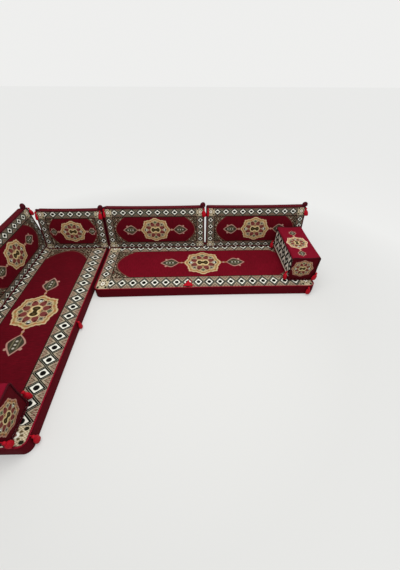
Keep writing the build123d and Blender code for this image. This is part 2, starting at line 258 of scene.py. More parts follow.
# Medallions
LINE_GOLD = (0.62, 0.45, 0.25)
BAND_GOLD = (0.35, 0.25, 0.095)
KNOT_RUST = (0.4, 0.165, 0.06)
INNER_GOLD = (0.54, 0.43, 0.22)
GROUND_DARK = (0.042, 0.024, 0.016)
GROUND_PALE = (0.17, 0.11, 0.06)
PETAL_LINE = (0.48, 0.32, 0.17)
PETAL_BRICK = (0.18, 0.04, 0.036)
PETAL_TIP = (0.055, 0.01, 0.008)
DIAMOND_GREY = (0.23, 0.21, 0.155)
DIAMOND_SAGE = (0.3, 0.32, 0.26)
DIAMOND_LINE = (0.58, 0.45, 0.26)
HEART_DARK = (0.03, 0.026, 0.012)
HEART_GREEN = (0.06, 0.085, 0.035)
HEART_WHITE = (0.82, 0.82, 0.76)
EYE_BLACK = (0.012, 0.012, 0.012)
CORE_GOLD = (0.5, 0.33, 0.125)
BOW_LINE = (0.7, 0.55, 0.28)
BOW_DARK = (0.034, 0.022, 0.006)
BOW_HEART = (0.11, 0.07, 0.026)
# Pendants
LEAF_DARK = (0.045, 0.04, 0.024)
LEAF_VEIN = (0.145, 0.13, 0.075)
LEAF_DOT = (0.5, 0.47, 0.38)
# Spandrels
SCROLL_DARK = (0.022, 0.015, 0.008)
SCROLL_PALE = (0.24, 0.185, 0.12)
SCROLL_SPOT = (0.44, 0.36, 0.26)
SCROLL_RED = (0.1, 0.018, 0.014)
ARCH_LINE = (0.16, 0.06, 0.042)
# Wear
YARN_SHADE = (0.008, 0.002, 0.002)
FADE_SHADE = (0.02, 0.004, 0.004)
WORN_PINK = (0.3, 0.15, 0.12)
# Arms
ARM_LINE = (0.8, 0.6, 0.42)
ARM_BAND = (0.52, 0.36, 0.17)
ARM_CREAM = (0.86, 0.82, 0.68)
HOOK_BROWN = (0.045, 0.02, 0.014)
SIDE_CREAM = (0.76, 0.7, 0.56)
END_LINE = (0.46, 0.25, 0.18)
END_BAND = (0.19, 0.105, 0.055)
# Piping, tassels and zips
PIPING_DEEP = (0.04, 0.001, 0.004)
SEAT_PIPING_RED = (0.26, 0.0035, 0.019)
SEAT_PIPING_DEEP = (0.15, 0.002, 0.01)
TASSEL_RED = (0.5, 0.004, 0.016)
TASSEL_DEEP = (0.26, 0.002, 0.008)
ZIP_RED = (0.055, 0.004, 0.008)
ZIP_DEEP = (0.03, 0.002, 0.004)
METAL = (0.52, 0.5, 0.46)
METAL_DARK = (0.34, 0.32, 0.3)
# Floor and surroundings
FLOOR_GREY = (0.62, 0.62, 0.6)
FLOOR_GLOW = (0.95, 0.95, 0.935)
SKY_LIGHT = (0.92, 0.95, 1.0)
BACKDROP = (0.86, 0.86, 0.85)


def new_material(name):
    material = bpy.data.materials.new(name)
    material.use_nodes = True
    Field.tree = material.node_tree
    return material, material.node_tree.nodes["Principled BSDF"]


RIB_RATE, YARN_RATE = 1800.0, 2100.0
WEAVE_STRENGTH, WEAVE_DEPTH = 0.25, 0.0006


def relief(shader, height, strength, depth, grain, rough):
    """A bump as high as height says, and a roughness that varies a little with the grain."""
    bump = make_node("Bump", Strength=strength, Distance=depth, Height=height)
    feed(shader.inputs["Normal"], bump.outputs[0])
    feed(shader.inputs["Roughness"], maths("MULTIPLY_ADD", grain, 0.2, rough, clamp=True))


def weave(shader):
    """Fine woven ribs, grain and slubs."""
    u, v = flat_place()
    ribs = maths("SINE", u * RIB_RATE) * maths("SINE", v * RIB_RATE)
    grain = speckle(420.0, 2.0)
    slub = speckle(60.0, 2.0, (1, 6, 1))
    height = ribs * 0.25 + grain * 0.8 + slub * 0.5
    relief(shader, height, WEAVE_STRENGTH, WEAVE_DEPTH, grain, 0.76)
    shader.inputs["Sheen Weight"].default_value = 0.012
    shader.inputs["Sheen Roughness"].default_value = 0.4
    shader.inputs["Specular IOR Level"].default_value = 0.06


def mottled(colour, deep):
    """Pile that is lighter and darker in streaks."""
    streaks = speckle(20.0, 4.0, (6, 1, 1))
    patches = speckle(5.0, 2.0)
    mask = maths("MULTIPLY_ADD", streaks * 0.9 + patches * 0.4, 2.2, -0.9, clamp=True)
    return paint(deep, colour, mask)


def border_colours(s, t, pale):
    """Lozenges along a border. s counts lozenges and t runs from -0.5 to 0.5 across it.

    pale is the ground between the lozenges. Here and in the other figures the bounds are shares
    of the figure's own size, as the photograph shows them, and the last one is how soft it ends.
    """
    s = repeat(s)
    across, along = abs(t), abs(s)
    lattice = along * 2.0 + across / 0.425
    # The triangles between the lozenges: upright strokes in brick on a pale ground
    strokes = inside(abs(repeat(s * 11.0 + 0.5)) - 0.21, 0.12)
    tall = inside(0.26 - across, 0.05) * inside(across - 0.44, 0.03)
    fan = abs(along - 0.5) * 2.0 + abs(across - 0.5) * 1.5
    edge_row = paint(pale, TICK_BRICK, inside(abs(repeat(s * 8.0)) - 0.24, 0.1))
    oval = length(s / 0.178, t / 0.132)
    # Two dark outlines with a pale one between them cross at the gaps
    return layers(
        pale,
        (STROKE_BRICK, strokes * tall),
        (FAN_LINE, between(fan, 0.4, 0.5, 0.05)),
        (FAN_DARK, inside(fan - 0.13, 0.05)),
        (edge_row, inside(0.455 - across, 0.012)),
        (BLACK, between(lattice, 0.98, 1.15, 0.03)),
        (LATTICE_PALE, between(lattice, 0.93, 0.98, 0.03)),
        (BLACK, between(lattice, 0.68, 0.93, 0.03)),
        (CREAM, inside(lattice - 0.685, 0.03)),
        (BLACK, inside(oval - 1.0, 0.16)))


def corner_colours(c, d):
    """A corner square, c and d from -0.5 to 0.5."""
    ring = length(c, d)
    petals = inside(abs(repeat(maths("ARCTAN2", d, c) / EIGHTH)) - 0.3, 0.1)
    dots = length(abs(c) - 0.33, abs(d) - 0.33)
    return layers(
        MOSAIC_DARK,
        (MOSAIC_PALE, inside(repeat(c * 7.0) * repeat(d * 7.0), 0.03)),
        (paint(RING_PALE, RING_DARK, petals), between(ring, 0.18, 0.3, 0.02)),
        (CREAM, inside(ring - 0.16, 0.03)),
        (HUB_BROWN, inside(ring - 0.07, 0.02)),
        (DOT_BLACK, inside(dots - 0.1, 0.03)),
        (OLIVE_BLACK, inside(0.47 - most(abs(c), abs(d)), 0.01)))


def medallion(colour, x, y, a, b, line=LINE_GOLD, band=BAND_GOLD):
    """A pointed rosette of half-length a and half-width b round the middle of the cloth.

    line and band are the colours of its outline and of the wide ring inside that.
    """
    p, q = x / a, y / b
    ring = length(p, q)
    turn = maths("ARCTAN2", q, p)
    # Eight points with nearly straight edges between them, and small beads all round
    eighth = repeat(turn / EIGHTH)
    point = 1.0 - abs(eighth) * 2.0
    bead = abs(maths("SINE", turn * 14.0))
    slanted = abs(maths("SINE", turn * 2.0))
    edge = maths("POWER", point, 1.3) * 0.135 + bead * 0.03 + slanted * 0.03 + 0.835
    shell = ring / edge
    soft = 0.02
    knots = paint(band, KNOT_RUST, inside(abs(repeat(turn * 2.55)) - 0.2, 0.1))
    mottle = inside(repeat(p * 9.0) * repeat(q * 9.0), 0.04)
    # Brick petals between the eight directions, each with a dark tip
    aside = repeat(turn / EIGHTH + 0.5) * ring * EIGHTH
    petal = length(aside / 0.145, (ring - 0.49) / 0.18)
    tip = length(aside, ring - 0.615)
    # Diamonds in the eight directions: pale at the sides, sage above and below
    axis = inside(abs(repeat(turn / QUARTER)) - 0.25, 0.02)
    level = inside(abs(q) - abs(p), 0.02)
    diamond = abs(eighth * ring * EIGHTH) / 0.155 + abs(ring - 0.625) / 0.165
    fill = paint(DIAMOND_GREY, paint(SAGE, DIAMOND_SAGE, level), axis)
    heart = paint(HEART_DARK, paint(HEART_GREEN, HEART_WHITE, level), axis)
    eye = length((abs(p) - 0.7) / 0.048, q / 0.085)
    # The core: a dark bow with a pale outline, gold above and below its waist
    core = length(p / 0.345, q / 0.265)
    lobe = length((abs(p) - 0.165) / 0.115, q / 0.165) - 1.0
    waist = most(abs(q) - 0.085, abs(p) - 0.165) / 0.115
    bow = least(lobe, waist)
    return layers(
        colour,
        (line, inside(shell - 1.0, soft)),
        (knots, between(shell, 0.815, 0.925, soft)),
        (INNER_GOLD, between(shell, 0.765, 0.81, soft)),
        (paint(GROUND_DARK, GROUND_PALE, mottle), inside(shell - 0.755, soft)),
        (PETAL_LINE, inside(petal - 1.16, 0.06)),
        (PETAL_BRICK, inside(petal - 0.98, 0.06)),
        (PETAL_TIP, inside(tip - 0.052, 0.02)),
        (DIAMOND_LINE, inside(diamond - 1.04, 0.06)),
        (fill, inside(diamond - 0.82, 0.06)),
        (heart, inside(diamond - 0.34, 0.06)),
        (EYE_BLACK, inside(eye - 1.0, 0.2)),
        (CORE_GOLD, inside(core - 1.0, 0.05)),
        (BOW_LINE, inside(bow - 0.55, 0.1)),
        (BOW_DARK, inside(bow - 0.05, 0.1)),
        (BOW_HEART, inside(lobe + 0.62, 0.1)))


def pendant(colour, x, y, near, far, half):
    """A leaf on each side of the medallion that points away from it."""
    share = (abs(x) - near) / (far - near)
    wide = abs(y) / half
    # A leaf: full at a third of its length, drawn to a point at both ends
    swell = least(share * 1.95, (1.0 - share) * 1.45)
    off = wide - maths("SINE", least(most(swell, 0.0), 1.0) * QUARTER)
    body = between(share, 0.0, 1.0, 0.01)
    vein = inside(abs(wide - 0.32) - 0.08, 0.05) * inside(off + 0.3, 0.08)
    dots = length(repeat(share * 6.0) / 0.26, wide / 0.13)
    knob = length((share - 0.7) / 0.06, (wide - 0.74) / 0.17)
    return layers(
        colour,
        (PINK_CREAM, inside(off, 0.08) * body),
        (LEAF_DARK, inside(off + 0.17, 0.08) * body),
        (LEAF_VEIN, vein * body),
        (LEAF_DOT, inside(dots - 1.0, 0.2) * between(share, 0.25, 0.75, 0.02)),
        (PINK_CREAM, inside(knob - 1.0, 0.2)))


def link(colour, x, y, near, far):
    """The bar from the medallion to a pendant, with a bead on it."""
    bar = between(abs(x), near, far, 0.002) * inside(abs(y) - 0.006, 0.002)
    bead = length(abs(x) - (near + far) / 2, y)
    return layers(colour, (GOLD, bar), (PINK_CREAM, inside(bead - 0.011, 0.003)))


# How soft an edge between two cloths is, in metres
SHARP = 0.0004


def jacquard(name, size, borders, field, rows, end_row, motif, rosette, leaves, arch, crimson,
             deep, pale, edged=False):
    """Panel cloth: borders of lozenges, corner squares, spandrels, medallion and pendants.

    size is its length and width, and borders the widths of the long and the end borders. field
    is the field's half sizes and its middle along Y. rows are the pitch and shift of the
    lozenges at the top and at the bottom, and end_row the same at the ends. motif is the
    medallion's middle along X, rosette its half sizes, and leaves the pendants' near and far
    ends and half width.
    arch is how far the arch stays from the field's end at its point and how much further at its
    foot. pale is the borders' ground. An edged panel is plain crimson outside its border.
    """
    material, shader = new_material(name)
    x, y = flat_place()
    long_border, end_border = borders
    u_edge, v_edge, shift = field
    ax, v = abs(x), y - shift
    ay = abs(v)

    # Spandrels in the corners of the field, between its end and a pointed arch
    tip, reach = arch
    rise = maths("POWER", ay / v_edge, 2.0) * reach + tip
    past = (ax - u_edge + rise) / reach
    spots = speckle(46.0, 1.0)
    scroll = layers(
        SCROLL_DARK,
        (SCROLL_PALE, inside(abs(repeat(past * 4.5 + spots * 2.4)) - 0.15, 0.1)),
        (SCROLL_SPOT, inside(0.63 - spots, 0.03)),
        (SCROLL_RED, inside(spots - 0.38, 0.03)))
    colour = layers(
        mottled(crimson, deep), (scroll, inside(-past, 0.02)),
        (ARCH_LINE, between(past, -0.03, 0.05, 0.03)))

    u = x - motif
    colour = medallion(colour, u, v, *rosette)
    colour = pendant(colour, u, v, *leaves)
    colour = link(colour, u, v, rosette[0] * 0.965, leaves[0] + 0.004)

    # Borders
    at_end = inside(u_edge - ax, SHARP)
    low = inside(v, SHARP)
    top_s, bottom_s = ((x - start) / pitch for pitch, start in rows)
    long_s = top_s + low * (bottom_s - top_s)
    end_s = (v - end_row[1]) / end_row[0]
    end_t = (ax - (u_edge + end_border / 2)) / end_border
    long_t = (ay - (v_edge + long_border / 2)) / long_border
    s = long_s + at_end * (end_s - long_s)
    t = long_t + at_end * (end_t - long_t)
    square = inside(most(u_edge - ax, v_edge - ay), SHARP)
    rim = most(ax - u_edge, ay - v_edge)
    inner = least(abs(ax - u_edge), abs(ay - v_edge))
    colour = layers(
        colour,
        (border_colours(s, t, pale), inside(-rim, SHARP)),
        (corner_colours(end_t, long_t), square),
        (RIM_BLACK, between(rim, -0.0045, 0.0035, 0.001)),
        (RIM_BLACK, inside(inner - 0.0025, 0.001) * square))
    if edged:
        past = most(ax - (u_edge + end_border), ay - (v_edge + long_border))
        colour = layers(
            colour, (crimson, inside(-past, 0.0006)),
            (EDGE_PINK, between(past, -0.003, 0.0015, 0.0006)))
    seam = most(ax - size[0] / 2, abs(y) - size[1] / 2)
    stitch = between(seam, -0.0128, -0.0112, 0.0006)
    stitch = stitch * inside(abs(repeat((x + y) / 0.0052)) - 0.33, 0.08)
    colour = paint(colour, STITCH_RED, stitch)
    finish_cloth(shader, colour, seam)
    return material


def finish_cloth(shader, colour, rim=None):
    """Yarns, faded patches and, where rim is the distance past the seam, wear along it."""
    v = flat_place()[1]
    yarns = maths("SINE", v * YARN_RATE) * 0.5 + speckle(160.0, 2.0, (1, 8, 1))
    wear = [(YARN_SHADE, yarns, 0.16), (FADE_SHADE, speckle(3.0, 2.0), 0.12)]
    if rim:
        rubbed = between(rim, -0.022, -0.01, 0.008) * speckle(34.0, 3.0)
        wear.append((WORN_PINK, rubbed, 0.16))
    for shade, mask, share in wear:
        colour = paint(colour, shade, maths("MULTIPLY", mask, share, clamp=True))
    feed(shader.inputs["Base Color"], colour)
    weave(shader)


def plain(name, colour, deep):
    material, shader = new_material(name)
    feed(shader.inputs["Base Color"], mottled(colour, deep))
    weave(shader)
    return material


# The arm's medallion from its front end
ARM_FIGURE = 0.256


def arm_wrap(name):
    """Arm cloth: u is measured over the arm from the middle of its top, v along it."""
    material, shader = new_material(name)
    u, v = flat_place()
    v = v - (ARM_LENGTH - ARM_FIGURE)
    askew = u + v * 0.05 + 0.013
    colour = mottled(ARM_CRIMSON, CRIMSON)
    colour = pendant(colour, v, askew, 0.132, 0.222, 0.038)
    colour = link(colour, v, askew, 0.1, 0.14)
    colour = medallion(colour, v, askew, 0.106, 0.104, ARM_LINE, ARM_BAND)
    # Band down each side: stepped lozenges in cream and black
    middle, wide = 0.24, 0.18
    t = (abs(u) - middle) / wide
    s = repeat(v / 0.112)
    lattice = abs(s) * 2.0 + abs(t) * 1.9
    step = repeat(lattice * 1.12 + 0.16)
    hook = inside(abs(repeat(s * 3.0 + 0.5)) - 0.2, 0.1) * inside(0.38 - abs(t), 0.03)
    heart = most(abs(s) / 0.17, abs(t) / 0.1)
    band = layers(
        ARM_CREAM, (BLACK, inside(abs(step) - 0.26, 0.05)), (HOOK_BROWN, hook),
        (BLACK, inside(heart - 1.0, 0.1)))
    colour = layers(
        colour, (band, inside(abs(t) - 0.5, 0.01)),
        (BLACK, between(abs(t), 0.47, 0.51, 0.01)),
        (SIDE_CREAM, between(t, 0.51, 0.6, 0.01)))
    finish_cloth(shader, colour)
    return material


def arm_end(name):
    material, shader = new_material(name)
    u, v = flat_place()
    colour = mottled(MAROON, MAROON_DEEP)
    colour = medallion(colour, u + 0.012, v - 0.004, 0.102, 0.094, END_LINE, END_BAND)
    finish_cloth(shader, colour)
    return material


def simple(name, colour, deep, scale, roughness, bump=0.3, distance=0.0008, metal=0.0,
           stretch=(1, 1, 1)):
    """Colour and relief from noise in the object's own coordinates."""
    material, shader = new_material(name)
    grain = noise_at(object_coordinates(), scale, stretch=stretch)
    mask = maths("MULTIPLY_ADD", grain, 2.2, -0.6, clamp=True)
    feed(shader.inputs["Base Color"], paint(deep, colour, mask))
    relief(shader, grain, bump, distance, grain, roughness - 0.1)
    shader.inputs["Metallic"].default_value = metal
    if not metal:
        shader.inputs["Specular IOR Level"].default_value = 0.1
    return material


TOP_PITCH, BOTTOM_PITCH, END_PITCH = 0.0864, 0.0822, 0.068
SEAT_PITCH, SEAT_END_PITCH = 0.1009, 0.0985


def seat_cloth(name, crimson, deep):
    return jacquard(name, (SEAT_LENGTH, SEAT_DEPTH), borders=(0.144, 0.108),
                    field=(0.89, 0.2135, -0.0145), rows=((SEAT_PITCH, -0.87),) * 2,
                    end_row=(SEAT_END_PITCH, 0.0475), motif=-0.012, rosette=(0.188, 0.186),
                    leaves=(0.236, 0.424, 0.073), arch=(0.024, 0.159), crimson=crimson,
                    deep=deep, pale=SEAT_GROUND, edged=True)


def back_cloth(name, size, half_field, row_shifts, rosette, leaves, arch):
    top_shift, bottom_shift = row_shifts
    # The backs' cloth takes the dimmed crimson and border ground: painted shade for the less
    # light they get from above
    return jacquard(name, size, borders=(0.084, 0.083), field=(half_field, 0.1375, -0.01),
                    rows=((TOP_PITCH, top_shift), (BOTTOM_PITCH, bottom_shift)),
                    end_row=(END_PITCH, 0.028), motif=0.0, rosette=rosette, leaves=leaves,
                    arch=arch, crimson=SHADED_CRIMSON, deep=SHADED_CRIMSON_DEEP, pale=SHADED_BACK_GROUND)


MATERIALS = {
    "back_seat": seat_cloth("seat_jacquard", CRIMSON, CRIMSON_DEEP),
    # Painted shade: the left seat has the same cloth as the back seat, dimmed for its nap turned
    # from the light and for shade from the left
    "left_seat": seat_cloth("left_seat_shaded_jacquard", SHADED_CRIMSON, SHADED_CRIMSON_DEEP),
    "back": back_cloth("back_jacquard", (BACK_LENGTH, BACK_HEIGHT), half_field=0.426,
                       row_shifts=(-0.3985, -0.353), rosette=(0.152, 0.128),
                       leaves=(0.184, 0.334, 0.053), arch=(0.018, 0.107)),
    "corner": back_cloth("corner_jacquard", (CORNER_LENGTH, CORNER_HEIGHT), half_field=0.248,
                         row_shifts=(-0.2475, -0.2195), rosette=(0.132, 0.117),
                         leaves=(0.156, 0.236, 0.04), arch=(0.01, 0.07)),
    "plain": plain("plain_cloth", MAROON, MAROON_DEEP),
    "arm_wrap": arm_wrap("arm_jacquard"),
    "arm_end": arm_end("arm_end_cloth"),
    "piping": simple("piping_cloth", PIPING_RED, PIPING_DEEP, 260.0, 0.75),
    "seat_piping": simple("seat_piping_cloth", SEAT_PIPING_RED, SEAT_PIPING_DEEP, 260.0, 0.75),
    "tassel": simple("tassel_yarn", TASSEL_RED, TASSEL_DEEP, 500.0, 0.55, bump=0.4,
                     distance=0.0005, stretch=(1, 1, 0.12)),
    "zip": simple("zip_tape", ZIP_RED, ZIP_DEEP, 700.0, 0.6),
    "slider": simple("slider_metal", METAL, METAL_DARK, 220.0, 0.38, bump=0.1,
                     distance=0.0003, metal=1.0),
}


# Cushions, tubes and tassels
def bump_noise(*place):
    return noise.noise(Vector(place))


def rounded(x, y, half_x, half_y, radius):
    """A point of a rectangle moved so that the rectangle's corners are round."""
    over_x = (abs(x) - (half_x - radius)) / radius
    over_y = (abs(y) - (half_y - radius)) / radius
    if over_x > 0 and over_y > 0:
        round_x = over_x * math.sqrt(1 - over_y**2 / 2)
        round_y = over_y * math.sqrt(1 - over_x**2 / 2)
        x = math.copysign(half_x - radius + radius * round_x, x)
        y = math.copysign(half_y - radius + radius * round_y, y)
    return x, y


# How the cloth of a cushion lies, in metres
FRONT_INSET, SIDE_INSET, REAR_INSET = 0.007, 0.0012, 0.003
DOME, DOME_REACH = 0.004, 0.02
PUCKER, PUCKER_PLACE = 0.0011, 0.016
WAVE, WAVE_REACH = 0.0022, 0.05
END_FOLD, SIDE_FOLD, FINE_FOLD = 0.001, 0.0018, 0.0007
# What a round corner saves of the way round it, as a share of its radius
CORNER_SAVING = 0.43
WRAP_EDGE = 0.012


class Cushion:
    """A stuffed form with a front panel, sides and a rear panel, in its own plane.

    Its plane's X runs along it, Y up its panel and Z from its rear to its front.
    """

    def __init__(self, size, heights, radius, draw_ins, crowns, cells, foot=0.0, swell=0.0025,
                 waist=0.0, rear_crown=0.0, depth=None, end_swell=0.0):
        self.length, self.height = size
        self.rear, self.rim = heights
        self.radius, self.draw_ins, self.crowns = radius, draw_ins, crowns
        self.cells, self.foot, self.swell, self.waist = cells, foot, swell, waist
        self.rear_crown, self.end_swell = rear_crown, end_swell
        self.depth = depth or self.rim

    def plan(self, a, b, z, inset):
        """The place at shares a and b, from -1 to 1, of the outline at height z."""
        low = inset + self.foot * (1 - z / self.depth)
        high = self.height - inset
        half_y = (high - low) / 2
        half_x = self.length / 2 - inset
        x, y = rounded(a * half_x, b * half_y, half_x, half_y, self.radius - inset / 2)
        low_draw, end_draw, high_draw = self.draw_ins
        x -= math.copysign(end_draw * (1 - b * b) * abs(a) ** 3, a)
        pull = high_draw if b > 0 else low_draw
        y -= math.copysign(pull * (1 - a * a) * abs(b) ** 3, b)
        share = (z - self.rear) / (self.rim - self.rear)
        x -= math.copysign(self.waist * 4 * share * (1 - share) * abs(a) ** 3, a)
        return x, y + (high + low) / 2

    def shares(self, i, j):
        """A grid corner's place on the panel, from -1 to 1 each way."""
        return 2 * i / self.cells[0] - 1, 2 * j / self.cells[1] - 1

    def gap(self, a, b):
        """How far a place on the panel is from the nearest side."""
        return min((1 - abs(a)) * self.length, (1 - abs(b)) * self.height) / 2

    def crown(self, a, b):
        crown, end_crown = self.crowns
        rise = (end_crown + (crown - end_crown) * (1 - abs(a) ** 4)) * (1 - b * b)
        return rise + DOME * (1 - math.exp(-self.gap(a, b) / DOME_REACH))

    def rings(self):
        """Shares round the outline, counter-clockwise."""
        nx, ny, _ = self.cells
        ring = [(i, 0) for i in range(nx)] + [(nx, j) for j in range(ny)]
        ring += [(i, ny) for i in range(nx, 0, -1)] + [(0, j) for j in range(ny, 0, -1)]
        return ring

    def build(self, name, seed, materials):
        nx, ny, nz = self.cells
        points, faces, slots, uvs = [], [], [], []

        def add(x, y, z):
            points.append((x, y, z))
            return len(points) - 1

        front, rear = {}, {}
        for i in range(nx + 1):
            for j in range(ny + 1):
                a, b = self.shares(i, j)
                x, y = self.plan(a, b, self.rim, FRONT_INSET)
                gap = self.gap(a, b)
                along = x if (1 - abs(b)) * self.height < (1 - abs(a)) * self.length else y
                pucker = math.exp(-(((gap - PUCKER_PLACE) / PUCKER_PLACE) ** 2)) * PUCKER
                wave = bump_noise(along * 42, gap * 20, seed) * pucker
                calm = 1 - math.exp(-gap / WAVE_REACH)
                wave += bump_noise(x * 4, y * 5, seed + 7) * WAVE * calm
                front[i, j] = add(x, y, self.rim + 0.001 + self.crown(a, b) + wave)
                x, y = self.plan(a, b, self.rear, REAR_INSET)
                rear[i, j] = add(x, y, self.rear - self.rear_crown * (1 - a * a) * (1 - b * b))
        ring = self.rings()
        rows = []
        steps = [0.03, 0.06] + [0.06 + 0.88 * k / nz for k in range(1, nz)] + [0.94, 0.985]
        for share in steps:
            z = self.rear + (self.rim - self.rear) * share
            row = []
            for i, j in ring:
                a, b = self.shares(i, j)
                # A seat's rear, which holds the zip, and an arm's top are flatter
                flatter = b == 1 and not self.foot
                x, y = self.plan(a, b, z, SIDE_INSET)
                outward = Vector((a if abs(a) == 1 else 0, b if abs(b) == 1 else 0)).normalized()
                reach = self.swell * (0.4 if flatter else 1.0)
                if abs(a) == 1:
                    reach += self.end_swell * (1 - b * b)
                out = reach * math.sin(math.pi * share) ** 0.7
                if b == -1 and self.foot:
                    out = 0.0
                fold = bump_noise(x * 7, y * 7 + z * 9, seed + 3)
                fold *= END_FOLD if abs(a) == 1 else SIDE_FOLD
                fold += bump_noise((x + y) * 30, z * 12, seed + 5) * FINE_FOLD
                out += fold * math.sin(math.pi * share) * (0.25 if flatter else 1.0)
                row.append(add(x + outward.x * out, y + outward.y * out, z))
            rows.append(row)
        total = len(ring)
        around = [0.0]
        for here, there in zip(ring, ring[1:] + ring[:1]):
            p, q = points[front[here]], points[front[there]]
            around.append(around[-1] + math.dist(p[:2], q[:2]))

        def face(corners, slot, coords):
            faces.append(corners)
            slots.append(slot)
            uvs.extend(coords)

        middle = self.height / 2
        for i in range(nx):
            for j in range(ny):
                cell = [(i, j), (i + 1, j), (i + 1, j + 1), (i, j + 1)]
                corners = [front[c] for c in cell]
                face(corners, 0, [(points[c][0], points[c][1] - middle) for c in corners])
                corners = [rear[c] for c in (cell[0], cell[3], cell[2], cell[1])]
                face(corners, 2, [(points[c][0], points[c][1] - middle) for c in corners])

        def over(index, way):
            """Coordinates on the sides' cloth: over the arm's top, or round the boxing."""
            x, y, z = points[index]
            if not self.waist:
                return around[way], z
            half = self.length / 2
            if y > self.height - WRAP_EDGE and abs(x) < half - WRAP_EDGE:
                return x, z
            turned = half + (self.height - y)
            turned -= CORNER_SAVING * min(self.radius, half - min(abs(x), half))
            return math.copysign(turned, x), z

        loops = [[rear[c] for c in ring]] + rows + [[front[c] for c in ring]]
        for lower, upper in zip(loops, loops[1:]):
            for m in range(total):
                n = (m + 1) % total
                corners = [lower[m], lower[n], upper[n], upper[m]]
                ways = (m, m + 1, m + 1, m)
                face(corners, 1, [over(c, way) for c, way in zip(corners, ways)])
        return mesh_object(name, points, faces, materials, slots, uvs)

    def seam(self, z):
        """The closed line that piping follows."""
        return [(*self.plan(*self.shares(i, j), z, PIPING), z) for i, j in self.rings()]


def mesh_object(name, points, faces, materials, slots=None, uvs=None):
    mesh = bpy.data.meshes.new(name)
    mesh.from_pydata(points, [], faces)
    for material in materials:
        mesh.materials.append(material)
    if slots:
        mesh.polygons.foreach_set("material_index", slots)
    layer = mesh.uv_layers.new(name="cloth")
    if uvs:
        layer.data.foreach_set("uv", [c for uv in uvs for c in uv])
    mesh.polygons.foreach_set("use_smooth", [True] * len(faces))
    mesh.update()
    thing = bpy.data.objects.new(name, mesh)
    bpy.context.collection.objects.link(thing)
    return thing


def angles(sides):
    return [2 * math.pi * s / sides for s in range(sides)]


def skin(rings, sides, closed=False, flip=False):
    """The faces between rings of points."""
    faces = []
    for k in range(rings if closed else rings - 1):
        here, there = k * sides, (k + 1) % rings * sides
        for s in range(sides):
            t = (s + 1) % sides
            face = (here + s, there + s, there + t, here + t)
            faces.append((face[0], face[3], face[2], face[1]) if flip else face)
    return faces


def tube(places, radius, sides, closed, up=None, seed=0.0, ripple=0.0):
    """Points and faces of a round cord along the places."""
    places = [Vector(place) for place in places]
    count = len(places)
    points = []
    for k, place in enumerate(places):
        ahead = places[(k + 1) % count] if closed or k + 1 < count else place
        behind = places[k - 1] if closed or k else place
        along = (ahead - behind).normalized()
        side = (along.cross(up) if up else along.orthogonal()).normalized()
        rise = side.cross(along).normalized()
        for s, angle in enumerate(angles(sides)):
            r = radius * (1 + ripple * bump_noise(place.x * 90, place.y * 90, s + seed))
            points.append(place + side * (r * math.cos(angle)) + rise * (r * math.sin(angle)))
    faces = skin(count, sides, closed)
    if not closed:
        faces.append(tuple(range(sides)))
        faces.append(tuple((count - 1) * sides + s for s in reversed(range(sides))))
    return points, faces


def join(parts):
    points, faces = [], []
    for some_points, some_faces in parts:
        start = len(points)
        points += [Vector(p) for p in some_points]
        faces += [tuple(start + c for c in face) for face in some_faces]
    return points, faces


def moved(shape, matrix):
    points, faces = shape
    return [matrix @ p for p in points], faces


def ear(centre, width, height, seed, shift=0.0):
    """A stuffed corner of cloth that stands up, gathered in folds at its foot."""
    rings = [(0.0, 1.0), (0.12, 1.0), (0.3, 0.99), (0.5, 0.94), (0.68, 0.83), (0.82, 0.67),
             (0.93, 0.44), (0.98, 0.25)]
    sides = 28
    points = []
    for share, wide in rings:
        fold = 0.07 * (1 - share)
        for angle in angles(sides):
            r = width / 2 * wide * (1 + fold * math.cos(7 * angle + seed) - fold)
            points.append(Vector((centre[0] + shift * share + r * math.cos(angle),
                                  centre[1] + height * share,
                                  centre[2] + 0.88 * r * math.sin(angle))))
    faces = skin(len(rings), sides)
    top = len(points)
    points.append(Vector((centre[0] + shift, centre[1] + height, centre[2])))
    last = top - sides
    for s in range(sides):
        faces.append((last + s, top, last + (s + 1) % sides))
    faces.append(tuple(range(sides)))
    return points, faces


def ball(centre, radius, seed):
    """A small knot of yarn."""
    sides, rows = 12, 8
    points, faces = [Vector(centre) + Vector((0, 0, radius))], []
    for k in range(1, rows):
        turn = math.pi * k / rows
        for angle in angles(sides):
            r = radius * (1 + 0.12 * bump_noise(angle * 2, turn * 3, seed))
            points.append(Vector(centre) + Vector((r * math.sin(turn) * math.cos(angle),
                                                   r * math.sin(turn) * math.sin(angle),
                                                   r * math.cos(turn))))
    points.append(Vector(centre) - Vector((0, 0, radius)))
    for s in range(sides):
        t = (s + 1) % sides
        faces.append((0, 1 + s, 1 + t))
        for k in range(rows - 2):
            here = 1 + k * sides
            faces.append((here + s, here + sides + s, here + sides + t, here + t))
        last = 1 + (rows - 2) * sides
        faces.append((last + s, len(points) - 1, last + t))
    return points, faces


CORD = 0.0023
TASSEL_LENGTH, TASSEL_TOP = 0.084, 0.0222
BACK_TILT, SEAT_TILT, ARM_TILT = -0.04, -0.03, -0.06


